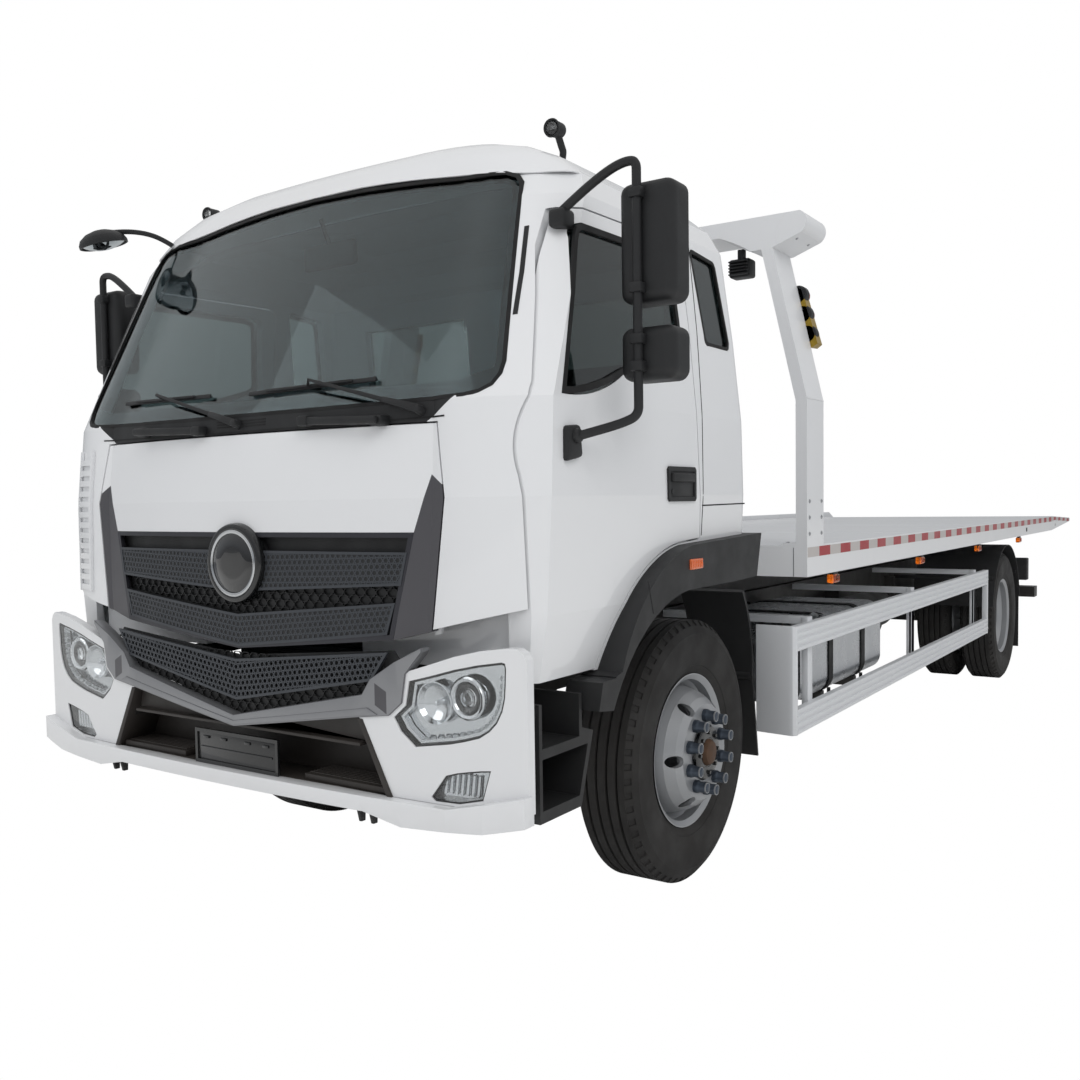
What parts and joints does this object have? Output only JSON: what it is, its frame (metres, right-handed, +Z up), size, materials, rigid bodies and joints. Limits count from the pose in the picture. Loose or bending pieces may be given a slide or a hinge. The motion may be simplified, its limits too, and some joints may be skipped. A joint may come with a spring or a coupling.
{
  "type": "flatbed tow truck",
  "caption": "Cab-over flatbed tow truck with a tilting and sliding bed, gantry, winch and rear wheel lift, on twin rear wheels.",
  "frame": {"origin": "on the ground under the middle of the truck's length and width", "axes": "+X towards the front of the truck, +Y to its left, +Z up"},
  "size_m": [9.98, 2.844, 2.7569],
  "materials": {
    "white_paint": "gloss",
    "pearl_white": "gloss",
    "gunmetal": "satin",
    "dark_plastic": "grained",
    "silver_trim": "satin",
    "black_steel": "satin",
    "cast": "rough",
    "polished_steel": "brushed",
    "tank_aluminium": "polished",
    "guard_white": "satin",
    "wheel_silver": "satin",
    "rubber_black": "matt",
    "glass_tinted": "clear",
    "lamp_clear": "clear",
    "lamp_red": "clear",
    "seat_cloth": "woven",
    "bed_white": "satin"
  },
  "bodies": {
    "chassis": {"frame_rails": "black_steel", "engine": "cast", "front_axle": "cast", "leaf_springs": "black_steel", "rear_axle": "cast", "propeller_shaft": "black_steel", "bumper": "pearl_white", "bumper_band": "silver_trim", "bumper_grille": "dark_plastic", "front_lamps": "lamp_clear", "entry_steps": "dark_plastic", "fuel_tank": "tank_aluminium", "side_equipment": "black_steel", "side_guards": "guard_white", "front_mudguards": "dark_plastic", "rear_mudguards": "dark_plastic", "rear_lamps": "lamp_red", "lift_hanger": "black_steel"},
    "cab": {"cab_shell": "white_paint", "windscreen": "glass_tinted", "cab_windows": "glass_tinted", "cowl": "dark_plastic", "flares": "dark_plastic", "seats": "seat_cloth", "dashboard": "dark_plastic", "cab_arms": "black_steel", "roof_lamps": "dark_plastic"},
    "door_left": {"door_left": "white_paint", "door_glass_left": "glass_tinted", "door_fittings_left": "dark_plastic"},
    "door_right": {"door_right": "white_paint", "door_glass_right": "glass_tinted", "door_fittings_right": "dark_plastic"},
    "front_lid": {"front_lid": "white_paint", "lid_pillars": "gunmetal", "lid_grille": "dark_plastic"},
    "knuckle_left": {"knuckle_left": "cast"},
    "knuckle_right": {"knuckle_right": "cast"},
    "wheel_front_left": {"front_rim_left": "wheel_silver", "front_tyre_left": "rubber_black"},
    "wheel_front_right": {"front_rim_right": "wheel_silver", "front_tyre_right": "rubber_black"},
    "wheels_rear_left": {"rear_rims_left": "wheel_silver", "rear_tyres_left": "rubber_black"},
    "wheels_rear_right": {"rear_rims_right": "wheel_silver", "rear_tyres_right": "rubber_black"},
    "tilt_frame": {"tilt_frame": "black_steel", "tilt_ears": "black_steel", "slide_barrel": "black_steel"},
    "tilt_barrels": {"tilt_barrels": "black_steel"},
    "tilt_rods": {"tilt_rods": "polished_steel"},
    "bed": {"bed": "bed_white", "slide_rod": "polished_steel", "gantry": "bed_white", "gantry_lamps": "lamp_red", "winch": "black_steel"},
    "lift_boom": {"lift_boom": "black_steel"},
    "lift_stinger": {"lift_stinger": "black_steel"}
  },
  "joints": [
    {"name": "cab_tilt", "type": "hinge", "parent": "chassis", "child": "cab", "pos_m": [4.88, 0, 0.93], "axis": [0, 1, 0], "range_deg": [0, 40]},
    {"name": "door_left_hinge", "type": "hinge", "parent": "cab", "child": "door_left", "pos_m": [4.79, 1.152, 1.6], "axis": [0, 0, -1], "range_deg": [0, 70]},
    {"name": "door_right_hinge", "type": "hinge", "parent": "cab", "child": "door_right", "pos_m": [4.79, -1.152, 1.6], "axis": [0, 0, 1], "range_deg": [0, 70]},
    {"name": "front_lid_hinge", "type": "hinge", "parent": "cab", "child": "front_lid", "pos_m": [4.906, 0, 1.732], "axis": [0, -1, 0], "range_deg": [0, 60]},
    {"name": "steer_left", "type": "hinge", "parent": "chassis", "child": "knuckle_left", "pos_m": [3.59, 0.77, 0.508], "axis": [0, 0, 1], "range_deg": [-35, 35]},
    {"name": "steer_right", "type": "hinge", "parent": "chassis", "child": "knuckle_right", "pos_m": [3.59, -0.77, 0.508], "axis": [0, 0, 1], "range_deg": [-35, 35]},
    {"name": "wheel_front_left_spin", "type": "hinge", "parent": "knuckle_left", "child": "wheel_front_left", "pos_m": [3.59, 0.915, 0.508], "axis": [0, 1, 0], "continuous": true},
    {"name": "wheel_front_right_spin", "type": "hinge", "parent": "knuckle_right", "child": "wheel_front_right", "pos_m": [3.59, -0.915, 0.508], "axis": [0, 1, 0], "continuous": true},
    {"name": "wheels_rear_left_spin", "type": "hinge", "parent": "chassis", "child": "wheels_rear_left", "pos_m": [-1.86, 0.895, 0.508], "axis": [0, 1, 0], "continuous": true},
    {"name": "wheels_rear_right_spin", "type": "hinge", "parent": "chassis", "child": "wheels_rear_right", "pos_m": [-1.86, -0.895, 0.508], "axis": [0, 1, 0], "continuous": true},
    {"name": "bed_tilt", "type": "hinge", "parent": "chassis", "child": "tilt_frame", "pos_m": [-3.53, 0, 0.905], "axis": [0, -1, 0], "range_deg": [0, 12.5]},
    {"name": "bed_slide", "type": "slide", "parent": "tilt_frame", "child": "bed", "axis": [-1, 0, 0], "range_m": [0, 3.8]},
    {"name": "tilt_barrel_swing", "type": "hinge", "parent": "chassis", "child": "tilt_barrels", "pos_m": [-0.61, 0, 0.79], "axis": [0, 1, 0], "range_deg": [0, 13.2]},
    {"name": "tilt_rod_slide", "type": "slide", "parent": "tilt_barrels", "child": "tilt_rods", "axis": [-0.9872, 0, 0.1595], "range_m": [0, 0.153]},
    {"name": "lift_swing", "type": "hinge", "parent": "chassis", "child": "lift_boom", "pos_m": [-2.86, 0, 0.56], "axis": [0, -1, 0], "range_deg": [0, 14]},
    {"name": "lift_slide", "type": "slide", "parent": "lift_boom", "child": "lift_stinger", "axis": [-1, 0, 0], "range_m": [0, 0.9]}
  ],
  "couplings": [
    {"joint": "steer_right", "follows": "steer_left", "ratio": 1},
    {"joint": "tilt_barrel_swing", "follows": "bed_tilt", "ratio": 1.0527},
    {"joint": "tilt_rod_slide", "follows": "bed_tilt", "m_per_rad": 0.69763}
  ]
}
